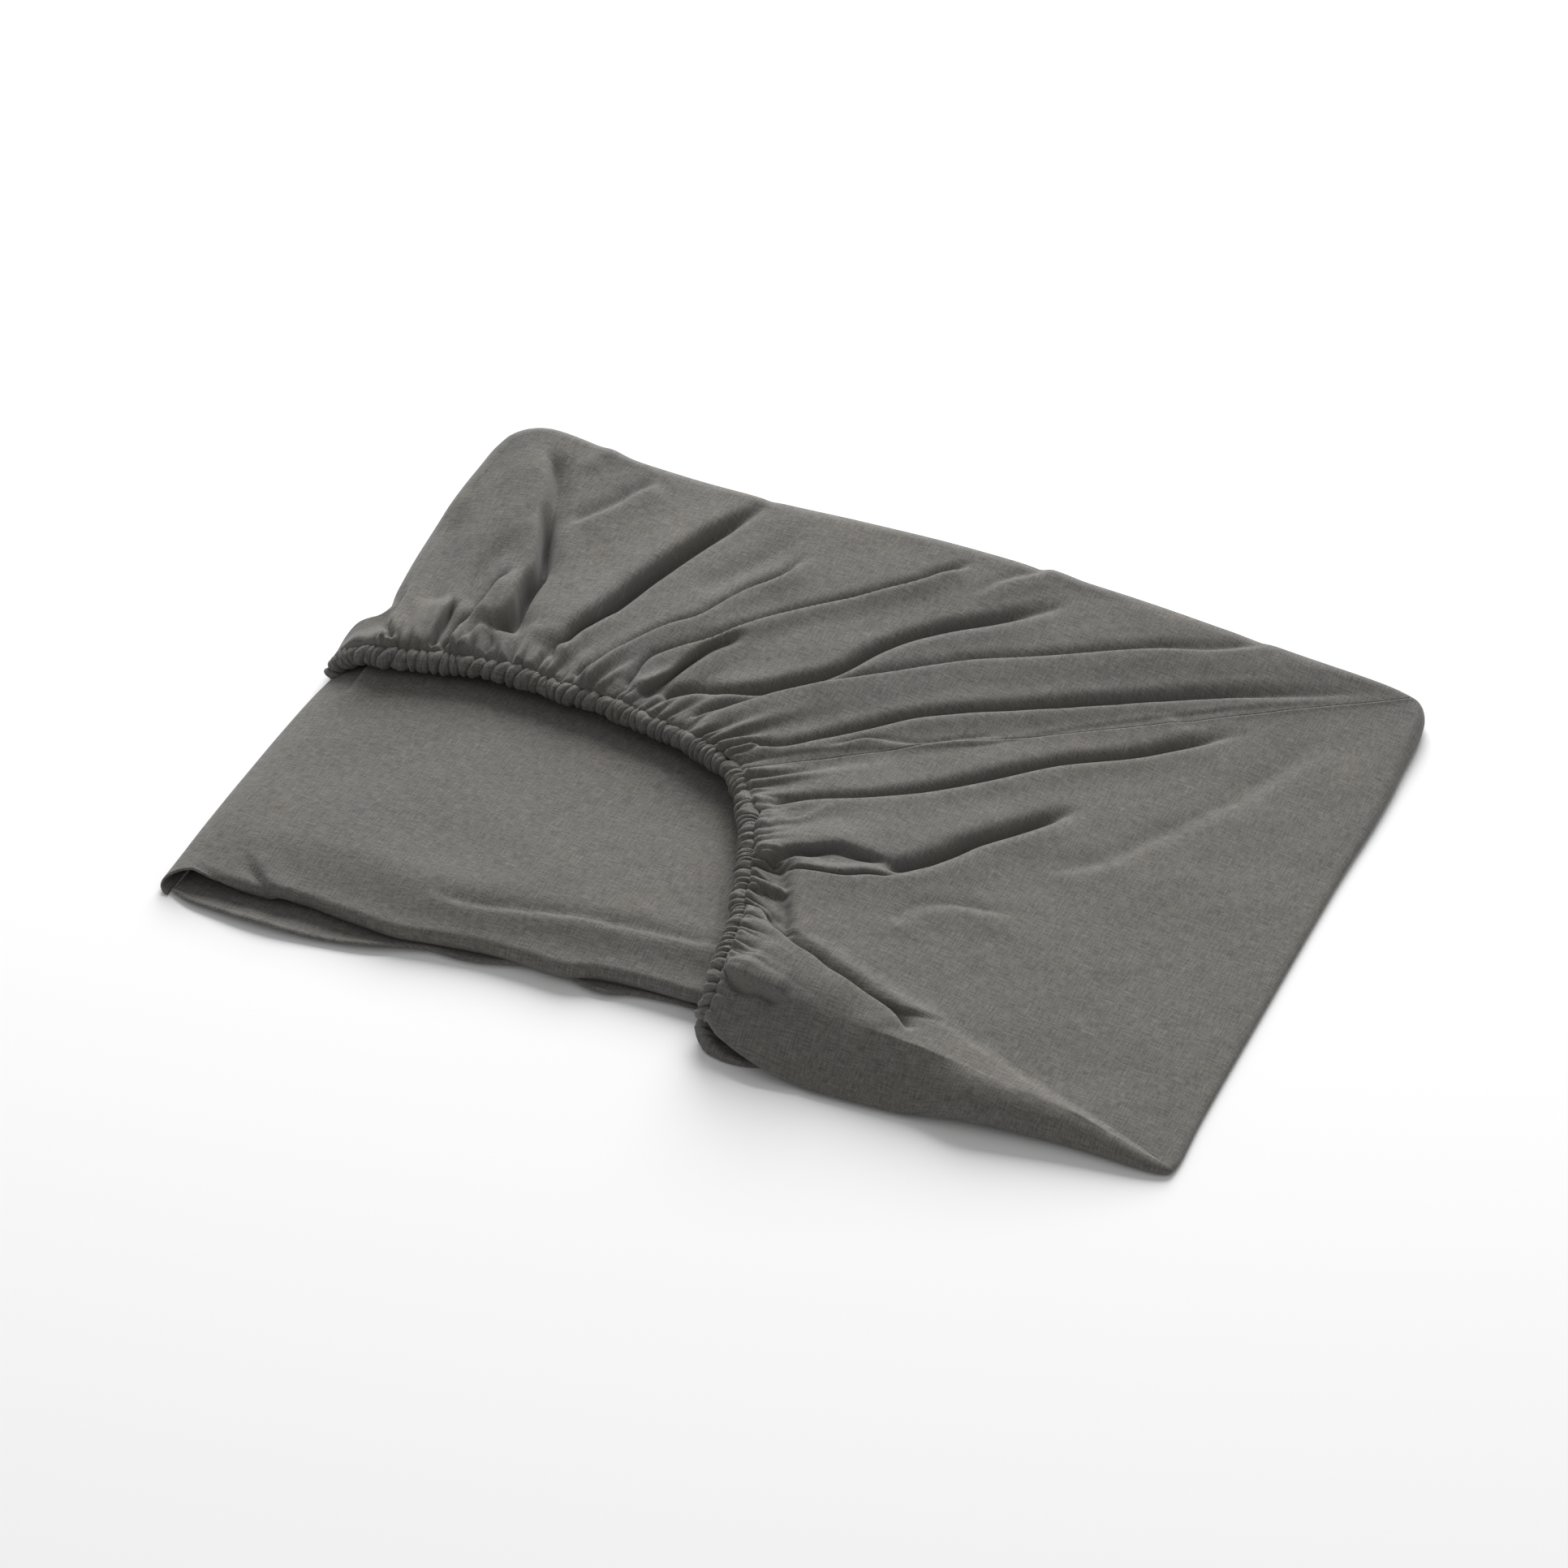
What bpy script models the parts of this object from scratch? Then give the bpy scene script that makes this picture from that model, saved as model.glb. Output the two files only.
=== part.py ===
"""A fitted bed sheet with an elastic hem, folded to a rectangle and laid on a flat surface.

It is one cloth: a bottom layer, an inner panel turned over from the left side and folded back
under itself, and an outer flap turned over from the left, far, right and near sides, whose
gathered casing crosses the top in an L. Lengths are in millimetres until the mesh is made.
The origin is the middle of the underside, X runs along the long side and Y to the far side.
"""

from collections import namedtuple
from math import cos, pi, radians, sin

import bmesh
import bpy
import numpy as np

MM = 0.001
CLOTH = 2.0  # linen with its slack and wrinkles
MID = CLOTH / 2  # height of the bottom layer's middle
CASING_RADIUS = 3.6  # of the cloth's middle, turned round the elastic
CASING_TURN = [40, 85, 130, 175, 220, 265]  # degrees round the elastic, from the flap's side
WRAP_SHARES = [0, 0.18, 0.35, 0.51, 0.68, 0.85, 1]  # of the turn round a side, from the floor up
FLAP_ROWS = 11  # rows of cloth from the ridge of a side to the casing
PUFF_AT = 0.2  # where the cloth puffs up beside the casing, as a share of the flap's width
RUFFLE = 0.9  # of the casing's gathers
PLEAT = 1.1  # of the small pleats that run out of them
BOTTOM_RING = 3.5  # the flat strip inside the bottom layer's edge

# Where the flap's cloth runs, from the left end of the casing round to its near end: a point on
# the casing, the point of the folded side that the same thread reaches, the height of the side
# and how far its ridge lies inside it, how much the cloth puffs up beside the casing, how many
# degrees it turns round the side, and the columns of cloth up to the next row.
Station = namedtuple("Station", "casing side height inset puff wrap columns")
STATIONS = {
    "left_end": Station((-236.5, -2.0, 5.5), (-240.5, 5.0), 8.0, 7.0, 0.0, 60, 2),
    "left_puff": Station((-241.5, -8.0, 11.0), (-241.0, 13.0), 15.0, 8.0, 1.0, 95, 2),
    "left_turn": Station((-235.0, -5.0, 19.0), (-239.0, 24.0), 23.0, 9.0, 2.0, 145, 3),
    "left_low": Station((-216.0, -6.0, 23.0), (-238.0, 46.0), 30.0, 11.0, 4.0, 180, 3),
    "left_mid": Station((-201.0, -3.0, 23.5), (-237.0, 84.0), 35.0, 12.0, 5.0, 180, 3),
    "left_high": Station((-186.0, 1.0, 24.0), (-237.0, 132.0), 42.0, 13.0, 5.0, 180, 3),
    "corner_left": Station((-174.0, 4.0, 24.0), (-236.0, 162.0), 47.0, 14.0, 4.0, 180, 3),
    "corner_far": Station((-160.0, 7.0, 24.0), (-216.0, 178.0), 49.5, 14.0, 3.0, 180, 4),
    "far_first": Station((-145.0, 7.0, 24.0), (-166.0, 177.0), 47.0, 14.0, 3.0, 180, 5),
    "far_second": Station((-125.0, 4.0, 24.0), (-98.0, 175.0), 41.5, 14.0, 3.0, 180, 4),
    "far_third": Station((-105.0, 3.0, 24.0), (-45.0, 175.0), 40.5, 14.0, 3.0, 180, 4),
    "far_fourth": Station((-87.0, -1.0, 24.0), (7.0, 175.0), 40.0, 14.0, 3.0, 180, 6),
    "far_fifth": Station((-57.0, -8.0, 24.0), (88.0, 174.5), 34.0, 13.0, 3.0, 180, 6),
    "far_sixth": Station((-38.0, -16.0, 24.0), (160.0, 174.0), 25.0, 12.0, 3.0, 180, 5),
    "corner_far_right": Station((-27.0, -22.0, 24.0), (218.0, 172.5), 14.0, 9.0, 3.0, 180, 3),
    "corner_right": Station((-21.0, -29.0, 24.0), (234.0, 160.0), 12.0, 8.0, 3.0, 180, 4),
    "right_first": Station((-11.0, -44.0, 24.0), (236.0, 120.0), 11.5, 8.0, 4.0, 180, 3),
    "right_second": Station((-2.0, -62.0, 24.0), (236.0, 85.0), 11.0, 8.0, 5.0, 180, 3),
    "right_third": Station((4.0, -78.0, 24.0), (235.0, 40.0), 10.5, 8.0, 5.0, 180, 5),
    "right_fourth": Station((8.0, -87.0, 24.0), (232.0, -50.0), 10.0, 8.0, 5.0, 180, 4),
    "right_fifth": Station((10.0, -92.0, 24.0), (230.5, -125.0), 9.0, 7.0, 5.0, 180, 3),
    "corner_near_right": Station((11.0, -97.0, 24.0), (229.0, -163.0), 8.0, 6.0, 5.0, 180, 2),
    "corner_near": Station((12.0, -102.0, 24.0), (220.0, -172.0), 8.5, 6.0, 5.0, 180, 3),
    "near_first": Station((15.0, -111.0, 24.0), (184.0, -178.0), 12.0, 7.0, 5.0, 180, 5),
    "near_second": Station((19.0, -134.0, 23.5), (116.0, -184.0), 17.0, 9.0, 4.0, 180, 3),
    "near_third": Station((22.0, -152.0, 21.5), (72.0, -182.0), 17.0, 9.0, 2.0, 165, 3),
    "near_turn": Station((23.0, -166.0, 15.0), (50.0, -181.0), 14.0, 8.0, 1.0, 120, 2),
    "near_end": Station((28.0, -173.0, 7.0), (36.0, -179.0), 8.0, 7.0, 0.0, 60, 0),
}

# The main folds of the flap: the line that each follows on the plan, its height (a trough is
# negative), its half width, and the lengths over which it fades in at its two ends.
Fold = namedtuple("Fold", "line height width fade_in fade_out")
FOLDS = {
    "left_trough": Fold([(-163, 14), (-166, 46), (-179, 96), (-207, 152)], -19, 9.5, 14, 20),
    "left_swell": Fold([(-190, 20), (-205, 70), (-222, 130)], 4, 18, 20, 30),
    "second_trough": Fold([(-127, 14), (-126, 45), (-120, 87), (-100, 158)], -12, 9, 14, 14),
    "second_ridge": Fold([(-140, 20), (-143, 60), (-140, 100), (-122, 165)], 4, 14, 20, 10),
    "third_ridge": Fold([(-98, 12), (-93, 43), (-75, 85), (-40, 151)], 3, 12, 16, 30),
    "fourth_ridge": Fold([(-82, 10), (-72, 50), (-35, 95), (13, 152)], 5, 12, 14, 40),
    "fifth_trough": Fold([(-58, 4), (-51, 26), (-4, 83), (69, 145)], -13, 9.5, 10, 30),
    "fifth_ridge": Fold([(-38, -4), (-23, 32), (44, 90), (150, 143)], 6, 11, 12, 40),
    "sixth_trough": Fold([(-30, -10), (0, 15), (54, 60), (150, 114)], -8, 8.5, 10, 50),
    "corner_seam": Fold([(-14, -10), (27, 25), (99, 85), (200, 136)], 4, 9, 12, 40),
    "seventh_trough": Fold([(-2, -36), (34, -12), (70, 19), (110, 60)], -7, 8, 10, 40),
    "tube_fold": Fold([(6, -62), (33, -45), (80, -6), (115, 25)], 6, 11, 10, 40),
    "eighth_trough": Fold([(10, -75), (34, -69), (68, -45), (119, 19)], -8, 8, 8, 40),
    "near_crease": Fold([(20, -103), (49, -123), (90, -142), (108, -157)], -6, 7.5, 6, 12),
    "short_crease": Fold([(24, -142), (42, -150), (56, -154)], -5, 7, 4, 10),
}

# The near edge of the bottom layer, which is free, from the flap's end to the left corner.
NEAR_EDGE = [
    (22, -158), (4, -154), (-18, -155), (-43, -156), (-71, -157), (-102, -163),
    (-128, -169), (-151, -173), (-175, -175), (-198, -174), (-216, -172),
]
NEAR_EDGE_LIFT = [1.0, 1.5, 0.8, 1.6, 1.0, 1.8, 1.0, 1.6, 2.2, 1.6, 0.6]

# The inner panel, from its fold on the left side to its hidden fold on the right.
PANEL_CORNER = (-230.0, -170.0)
PANEL_STRIPS = [0.0, 0.03, 0.06, 0.09]  # shares of the left side that end up in the near roll
PANEL_ROWS = [0.12, 0.19, 0.27, 0.38, 0.5, 0.64, 0.8, 1.0]
PANEL_WRAP_TURN = [0, 50, 95, 140, 180]
PANEL_COLUMNS = [-222, -212, -202, -192, -178, -160, -138, -114, -88, -60, -30, 0, 30, 48, 66, 84, 110, 138, 162]
PANEL_BULGE = 5.0  # how far the left fold stands out
PANEL_TOP_START = -222.0
PANEL_SIDE_HEIGHT = 11.5
PANEL_FOLD_TURN = [45, 90, 135, 180]
RETURN_HEIGHT = 4.2
RETURN_COLUMNS = [130, 90, 45, 0, -50, -100, -140, -180]
ROLL_RADIUS = 3.0
ROLL_TURN = [180, 135, 90, 45]  # degrees round the near roll, from the cloth's edge up

NEAR_LINE = [(-222, -156), (-200, -161), (-160, -162), (-122, -165), (-80, -160), (-34, -158),
             (15, -154), (60, -148), (100, -134), (162, -112)]
FAR_LINE = [(-222, -10), (-205, 2), (-180, 14), (-150, 26), (-125, 60), (-95, 115), (-60, 140), (100, 138),
            (162, 128)]
PANEL_SWELL = [(-222, 11.5), (-200, 13.5), (-150, 16.0), (-80, 16.0), (-20, 15.0), (40, 13.0),
               (100, 11.0), (162, 9.0)]
ROLL_SHARE = [(-222, 0.0), (-212, 0.15), (-188, 1.0), (30, 1.0), (84, 0.0), (162, 0.0)]
ROLL_RIDGE = [(-150, -142), (-104, -141), (-62, -133), (-8, -126), (40, -124)]
RIDGE_HEIGHT = 2.2
RIDGE_WIDTH = 9.0


def smooth(x):
    x = min(max(x, 0.0), 1.0)
    return x * x * (3 - 2 * x)


def along(table, x):
    """The value at x of a table of (x, value), straight between its rows."""
    return float(np.interp(x, [row[0] for row in table], [row[1] for row in table]))


def spline(rows, knots, at):
    """Smooth curves through the rows, one for each column, read at one place."""
    rows = np.asarray(rows, float)
    steps = np.diff(knots)
    slopes = np.diff(rows, axis=0) / steps[:, None]
    inner = (slopes[:-1] * steps[1:, None] + slopes[1:] * steps[:-1, None])
    inner /= (steps[1:] + steps[:-1])[:, None]
    tangents = np.vstack([slopes[:1], inner, slopes[-1:]])
    i = min(max(int(np.searchsorted(knots, at, "right")) - 1, 0), len(steps) - 1)
    u = (at - knots[i]) / steps[i]
    return (
        rows[i] * (1 + 2 * u) * (1 - u) ** 2
        + tangents[i] * steps[i] * u * (1 - u) ** 2
        + rows[i + 1] * u * u * (3 - 2 * u)
        + tangents[i + 1] * steps[i] * u * u * (u - 1)
    )


def fold_lines():
    """Each fold with its line drawn through 24 points."""
    lines = []
    for fold in FOLDS.values():
        points = np.array(fold.line, float)
        knots = np.concatenate([[0], np.cumsum(np.linalg.norm(np.diff(points, axis=0), axis=1))])
        places = np.linspace(0, knots[-1], 24)
        lines.append((fold, np.array([spline(points, knots, at) for at in places]), places))
    return lines


def fold_height(x, y, lines):
    """The height that the folds add at a point of the plan."""
    here = np.array((x, y))
    total = 0.0
    for fold, points, places in lines:
        run = np.diff(points, axis=0)
        share = ((here - points[:-1]) * run).sum(axis=1) / (run * run).sum(axis=1)
        share = np.clip(share, 0, 1)
        gaps = np.linalg.norm(points[:-1] + run * share[:, None] - here, axis=1)
        nearest = int(np.argmin(gaps))
        place = places[nearest] + share[nearest] * (places[nearest + 1] - places[nearest])
        fade = smooth(place / fold.fade_in) * smooth((places[-1] - place) / fold.fade_out)
        total += fold.height * fade * np.exp(-((gaps[nearest] / fold.width) ** 2))
    return total


def flap_columns():
    """For each column of the flap: casing point, side point, height, inset, puff and wrap."""
    stations = list(STATIONS.values())
    rows = [(*s.casing, *s.side, s.height, s.inset, s.puff, s.wrap) for s in stations]
    chords = np.linalg.norm(np.diff(np.array(rows)[:, :5], axis=0), axis=1)
    knots = np.concatenate([[0], np.cumsum(np.sqrt(chords))])
    columns = []
    for i, station in enumerate(stations[:-1]):
        for k in range(station.columns):
            columns.append(spline(rows, knots, np.interp(k / station.columns, [0, 1], knots[i:i + 2])))
    columns.append(np.array(rows[-1]))
    return columns


def outward(columns, i):
    """The direction on the plan that points out of the folded side at a column."""
    before = columns[max(i - 1, 0)][3:5]
    after = columns[min(i + 1, len(columns) - 1)][3:5]
    run = (after - before) / np.linalg.norm(after - before)
    return np.array((-run[1], run[0]))


def flap_strip(columns, i, lines):
    """The points of one column of the flap, from the bottom layer over the side to the casing."""
    casing, side = columns[i][:3], columns[i][3:5]
    height, inset, puff, wrap = columns[i][5:]
    out = outward(columns, i)
    middle = side - out * inset
    strip = []
    for share in WRAP_SHARES:
        turn = radians(min(wrap, 180) * share)
        plan = middle + out * inset * sin(turn)
        rise = (height - MID) * (1 - cos(turn)) / 2
        strip.append(np.array((*plan, MID + rise)))
    ridge = strip[-1]
    width = np.linalg.norm(ridge - casing)
    pleat = PLEAT * (1 if i % 2 else -1) * smooth((width - 15) / 40)
    ruffle = RUFFLE * (1 if i % 2 else -1)
    radius = CASING_RADIUS + ruffle / 2
    run = columns[min(i + 1, len(columns) - 1)][:3] - columns[max(i - 1, 0)][:3]
    run = run / np.linalg.norm(run)
    back = ridge - casing
    back[2] = 0
    back -= run * back.dot(run)
    back /= np.linalg.norm(back)
    over = np.cross(run, back)

    def on_casing(turn):
        return casing + radius * (back * cos(radians(turn)) + over * sin(radians(turn)))

    start = on_casing(CASING_TURN[0])
    for k in range(1, FLAP_ROWS):
        share = 1 - (k / FLAP_ROWS)
        plan = start[:2] + (ridge[:2] - start[:2]) * share
        rise = start[2] + (ridge[2] - start[2]) * share
        rise += puff * share / PUFF_AT * np.exp(1 - share / PUFF_AT)
        rise += pleat * np.exp(-((share / 0.3) ** 2))
        fade = smooth(share / 0.12) * smooth((1 - share) / 0.1) * smooth((width - 15) / 40)
        rise += fold_height(*plan, lines) * fade
        strip.append(np.array((*plan, rise)))
    strip += [on_casing(turn) for turn in CASING_TURN]
    return strip


def panel_height(x, y):
    """The height of the panel's middle, which swells and then rolls down to the near side."""
    height = along(PANEL_SWELL, x)
    top = along(PANEL_SWELL, PANEL_COLUMNS[0])
    fold = np.exp(-(((y - along(ROLL_RIDGE, x)) / RIDGE_WIDTH) ** 2))
    height += RIDGE_HEIGHT * fold * smooth((x + 150) / 40) * smooth((60 - x) / 40)
    near = smooth(1 - (y - along(NEAR_LINE, x)) / 22)
    return height + (min(height, top + 1.5) - height) * near


def panel_strip(share, rolled, left):
    """One row of the panel, from the bottom layer over the left side, right, and back."""
    strip = []
    near_top, far_top = along(NEAR_LINE, PANEL_TOP_START), along(FAR_LINE, PANEL_TOP_START)
    top_y = near_top + (far_top - near_top) * share
    for turn in PANEL_WRAP_TURN[:-1]:
        lift = (1 - cos(radians(turn))) / 2
        bulge = PANEL_BULGE * (1 - share ** 3) * sin(radians(turn))
        x = left[0] + (PANEL_TOP_START - left[0]) * lift ** 2 - bulge
        y = left[1] + (top_y - left[1]) * lift
        strip.append(np.array((x, y, MID + (PANEL_SIDE_HEIGHT - MID) * lift)))
    for x in PANEL_COLUMNS:
        near, far = along(NEAR_LINE, x), along(FAR_LINE, x)
        if rolled is None:
            y = near + ROLL_RADIUS + (far - near - ROLL_RADIUS) * (share - PANEL_ROWS[0]) / (1 - PANEL_ROWS[0])
            strip.append(np.array((x, y, panel_height(x, y))))
            continue
        start = panel_height(x, near + ROLL_RADIUS)
        turn = radians(rolled)
        curled = along(ROLL_SHARE, x)
        reach = ROLL_RADIUS * (sin(turn) * curled + 0.7 * turn * (1 - curled))
        drop = ROLL_RADIUS * (1 - cos(turn)) * curled
        strip.append(np.array((x, near + ROLL_RADIUS - reach, start - drop)))
    end = strip[-1]
    radius = (end[2] - RETURN_HEIGHT) / 2
    for turn in PANEL_FOLD_TURN:
        x = end[0] + radius * sin(radians(turn))
        z = end[2] - radius * (1 - cos(radians(turn)))
        strip.append(np.array((x, end[1], z)))
    for x in RETURN_COLUMNS:
        strip.append(np.array((x, end[1], RETURN_HEIGHT)))
    return strip


def add_cloth_grid(cloth, strips):
    """A grid of cloth whose columns are the strips; returns the first vertex of each."""
    across, up = len(strips), len(strips[0])
    made = bmesh.ops.create_grid(cloth, x_segments=across - 1, y_segments=up - 1, size=1)
    corners = sorted(made["verts"], key=lambda v: (round(v.co.x, 5), round(v.co.y, 5)))
    for i, strip in enumerate(strips):
        for k, point in enumerate(strip):
            corners[i * up + k].co = point * MM
    return [corners[i * up] for i in range(across)]


def sheet_mesh():
    cloth = bmesh.new()
    lines = fold_lines()
    columns = flap_columns()
    flap = [flap_strip(columns, i, lines) for i in range(len(columns))]
    flap_start = add_cloth_grid(cloth, flap)
    left_end = flap[0][0]
    panel = []
    turns = ROLL_TURN + [None] * len(PANEL_ROWS)
    for share, rolled in zip(PANEL_STRIPS + PANEL_ROWS, turns):
        left = np.array(PANEL_CORNER) + (left_end[:2] - np.array(PANEL_CORNER)) * share
        panel.append(panel_strip(share, rolled, left))
    panel_start = add_cloth_grid(cloth, panel)
    bmesh.ops.remove_doubles(cloth, verts=[flap_start[0], panel_start[-1]], dist=1e-5)
    edge = [v for v in flap_start if v.is_valid]
    for (x, y), lift in zip(NEAR_EDGE, NEAR_EDGE_LIFT):
        edge.append(cloth.verts.new((x * MM, y * MM, (MID + lift) * MM)))
    edge += [v for v in panel_start if v.is_valid and v not in edge]
    bottom = cloth.faces.new(edge)
    bmesh.ops.recalc_face_normals(cloth, faces=cloth.faces[:])
    bmesh.ops.inset_region(
        cloth, faces=[bottom], thickness=BOTTOM_RING * MM, use_even_offset=True, use_boundary=True
    )
    for vertex in bottom.verts:
        vertex.co.z = MID * MM
    bmesh.ops.recalc_face_normals(cloth, faces=cloth.faces[:])
    mesh = bpy.data.meshes.new("fitted_sheet")
    cloth.to_mesh(mesh)
    cloth.free()
    return mesh


def linen():
    material = bpy.data.materials.new("washed_linen")
    material.use_nodes = True
    shader = material.node_tree.nodes["Principled BSDF"]
    shader.inputs["Base Color"].default_value = (0.105, 0.102, 0.095, 1)
    shader.inputs["Roughness"].default_value = 0.9
    shader.inputs["Metallic"].default_value = 0
    return material


for leftover in list(bpy.data.objects):
    bpy.data.objects.remove(leftover, do_unlink=True)

sheet = bpy.data.objects.new("fitted_sheet", sheet_mesh())
bpy.context.collection.objects.link(sheet)
sheet.data.materials.append(linen())
thickness = sheet.modifiers.new("cloth", "SOLIDIFY")
thickness.thickness = CLOTH * MM
thickness.offset = 0
thickness.use_rim = True
sheet.data.shade_smooth()
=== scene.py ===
from collections import namedtuple

import bmesh
import bpy
import numpy as np
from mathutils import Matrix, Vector


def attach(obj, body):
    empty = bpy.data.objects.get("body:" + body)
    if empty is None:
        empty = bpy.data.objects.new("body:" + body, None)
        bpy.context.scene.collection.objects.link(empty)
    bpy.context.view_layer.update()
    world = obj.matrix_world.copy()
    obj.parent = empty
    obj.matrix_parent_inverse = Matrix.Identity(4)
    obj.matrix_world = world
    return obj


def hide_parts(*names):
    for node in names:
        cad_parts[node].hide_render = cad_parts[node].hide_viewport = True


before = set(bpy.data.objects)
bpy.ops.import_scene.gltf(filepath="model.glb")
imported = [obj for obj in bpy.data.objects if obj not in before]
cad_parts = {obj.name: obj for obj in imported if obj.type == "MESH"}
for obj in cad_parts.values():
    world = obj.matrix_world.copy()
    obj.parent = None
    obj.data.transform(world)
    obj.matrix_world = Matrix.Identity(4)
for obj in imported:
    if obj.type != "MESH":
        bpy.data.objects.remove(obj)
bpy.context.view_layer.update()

# A fitted bed sheet of washed linen, folded to a rectangle of 460 by 345 mm. Its lengths are in
# millimetres until a mesh is made, with X along the long side, Y to the far side and Z up.
MM = 0.001

# The bottom layer. It is the cloth that the folded sheet lies on, flat on the surface. Its near
# left edge is a loose fold that waves a little and lifts off the surface.
LAYER_THICKNESS = 1.1
LAYER_HEIGHT = 0.7
LAYER_COLUMNS = 150
LAYER_ROWS = 110
LAYER_CROWDING = 1.4  # the rows lie closer together towards the near edge
LAYER_SIDES = (-229.0, 227.0)
LAYER_FAR = 160.0
LAYER_NEAR = [
    (-229, -168), (-221, -171), (-205, -173), (-190, -174), (-172, -174), (-158, -173),
    (-144, -171), (-128, -167), (-117, -163), (-106, -160), (-95, -160), (-85, -159), (-70, -155),
    (-58, -153.5), (-45, -154), (-34, -156), (-26, -156), (-17, -152.5), (-4, -150.5), (13, -150),
    (30, -154), (60, -160), (120, -163), (190, -160), (227, -158),
]
LAYER_LIFT = [
    (-229, 0.6), (-205, 1.6), (-180, 2.4), (-155, 1.4), (-128, 2.0), (-95, 1.0), (-60, 1.8),
    (-25, 1.2), (10, 0.8), (30, 0.2), (227, 0.0),
]
LAYER_LIFT_WIDTH = 12.0
SELVAGE_BEAD = 0.7  # the woven edge stands up a little and catches the light
BEAD_PLACE, BEAD_WIDTH = 1.2, 0.9


def ease(x):
    x = np.clip(x, 0.0, 1.0)
    return x * x * (3 - 2 * x)


def through(rows, at, knots=None):
    """Smooth curves through the rows, one for each column, read at the places in at."""
    rows = np.asarray(rows, float)
    knots = np.arange(len(rows), dtype=float) if knots is None else np.asarray(knots, float)
    steps = np.diff(knots)
    slopes = np.diff(rows, axis=0) / steps[:, None]
    inner = slopes[:-1] * steps[1:, None] + slopes[1:] * steps[:-1, None]
    inner /= (steps[1:] + steps[:-1])[:, None]
    tangents = np.vstack([slopes[:1], inner, slopes[-1:]])
    i = np.clip(np.searchsorted(knots, at, "right") - 1, 0, len(steps) - 1)
    u = ((at - knots[i]) / steps[i])[:, None]
    step = steps[i][:, None]
    return (
        rows[i] * (1 + 2 * u) * (1 - u) ** 2
        + tangents[i] * step * u * (1 - u) ** 2
        + rows[i + 1] * u * u * (3 - 2 * u)
        + tangents[i + 1] * step * u * u * (u - 1)
    )


def along(table, x):
    """The smooth curve through a table of (x, value), read at every x."""
    table = np.array(table, float)
    places = np.clip(x, table[0, 0], table[-1, 0]).ravel()
    return through(table[:, 1:], places, table[:, 0])[:, 0].reshape(np.shape(x))


def cloth_piece(name, points, threads):
    """A sheet of cloth from a grid, with a point and a place on the weave, in mm, at each corner.

    Where the cloth is steep its weave is drawn out, and weave_spread falls from 1 towards 0.
    """
    across, up = points.shape[:2]
    grid = bmesh.new()
    bmesh.ops.create_grid(grid, x_segments=across - 1, y_segments=up - 1, size=1)
    mesh = bpy.data.meshes.new(name)
    grid.to_mesh(mesh)
    grid.free()
    flat = np.zeros(len(mesh.vertices) * 3)
    mesh.vertices.foreach_get("co", flat)
    flat = flat.reshape(-1, 3)
    points = points.copy()
    points[..., 2] = np.maximum(points[..., 2], LAYER_HEIGHT)
    i = np.rint((flat[:, 0] + 1) / 2 * (across - 1)).astype(int)
    k = np.rint((flat[:, 1] + 1) / 2 * (up - 1)).astype(int)
    mesh.vertices.foreach_set("co", (points[i, k] * MM).ravel())
    corner_vertex = np.zeros(len(mesh.loops), int)
    mesh.loops.foreach_get("vertex_index", corner_vertex)
    weave = mesh.uv_layers.new(name="weave")
    weave.data.foreach_set("uv", (threads[i, k] * MM)[corner_vertex].ravel())
    cloth_across, cloth_up = np.gradient(points, axis=0), np.gradient(points, axis=1)
    weave_across, weave_up = np.gradient(threads, axis=0), np.gradient(threads, axis=1)
    cloth_area = np.linalg.norm(np.cross(cloth_across, cloth_up), axis=2)
    weave_area = weave_across[..., 0] * weave_up[..., 1] - weave_across[..., 1] * weave_up[..., 0]
    spread = np.clip(np.abs(weave_area) / np.maximum(cloth_area, 1e-6), 0, 1)
    mesh.attributes.new("weave_spread", "FLOAT", "POINT").data.foreach_set("value", spread[i, k])
    mesh.shade_smooth()
    piece = bpy.data.objects.new(name, mesh)
    bpy.context.scene.collection.objects.link(piece)
    return piece


across = np.linspace(0, 1, LAYER_COLUMNS)[:, None] * np.ones(LAYER_ROWS)
up = np.linspace(0, 1, LAYER_ROWS)[None, :] ** LAYER_CROWDING * np.ones((LAYER_COLUMNS, 1))
layer_x = LAYER_SIDES[0] + (LAYER_SIDES[1] - LAYER_SIDES[0]) * across
layer_near = along(LAYER_NEAR, layer_x)
layer_y = layer_near + (LAYER_FAR - layer_near) * up
from_edge = layer_y - layer_near
layer_lift = along(LAYER_LIFT, layer_x) * ease(1 - from_edge / LAYER_LIFT_WIDTH)
layer_bead = SELVAGE_BEAD * np.exp(-(((from_edge - BEAD_PLACE) / BEAD_WIDTH) ** 2))
layer = np.stack([layer_x, layer_y, LAYER_HEIGHT + layer_lift + layer_bead], axis=2)
bottom_layer = cloth_piece("bottom_layer", layer, layer[..., :2])

# The washed linen that all of it is cut from: a plain weave of uneven yarns, matt, piece dyed to
# a warm dark grey. The eye sees a fine cross grain, a few thick light yarns and a faint mottle.
# The real yarns are about 0.4 mm apart. They are drawn 0.6 mm apart, so that they show. Each
# pattern is noise, with patches of its own width and length in mm, laid along the weave.
Pattern = namedtuple("Pattern", "width length detail")
PATTERNS = {
    "warp": Pattern(0.6, 7.0, 1.0),
    "weft": Pattern(7.0, 0.6, 1.0),
    "slubs_up": Pattern(1.1, 16.0, 1.0),
    "slubs_across": Pattern(16.0, 1.1, 1.0),
    "mottle": Pattern(45.0, 45.0, 3.0),
    "crumple": Pattern(14.0, 14.0, 3.0),
}
FUZZ_SIZE = 0.7  # the short fibres that washing raises
DYE_COOL, DYE_WARM = "646360", "67645f"
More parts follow.
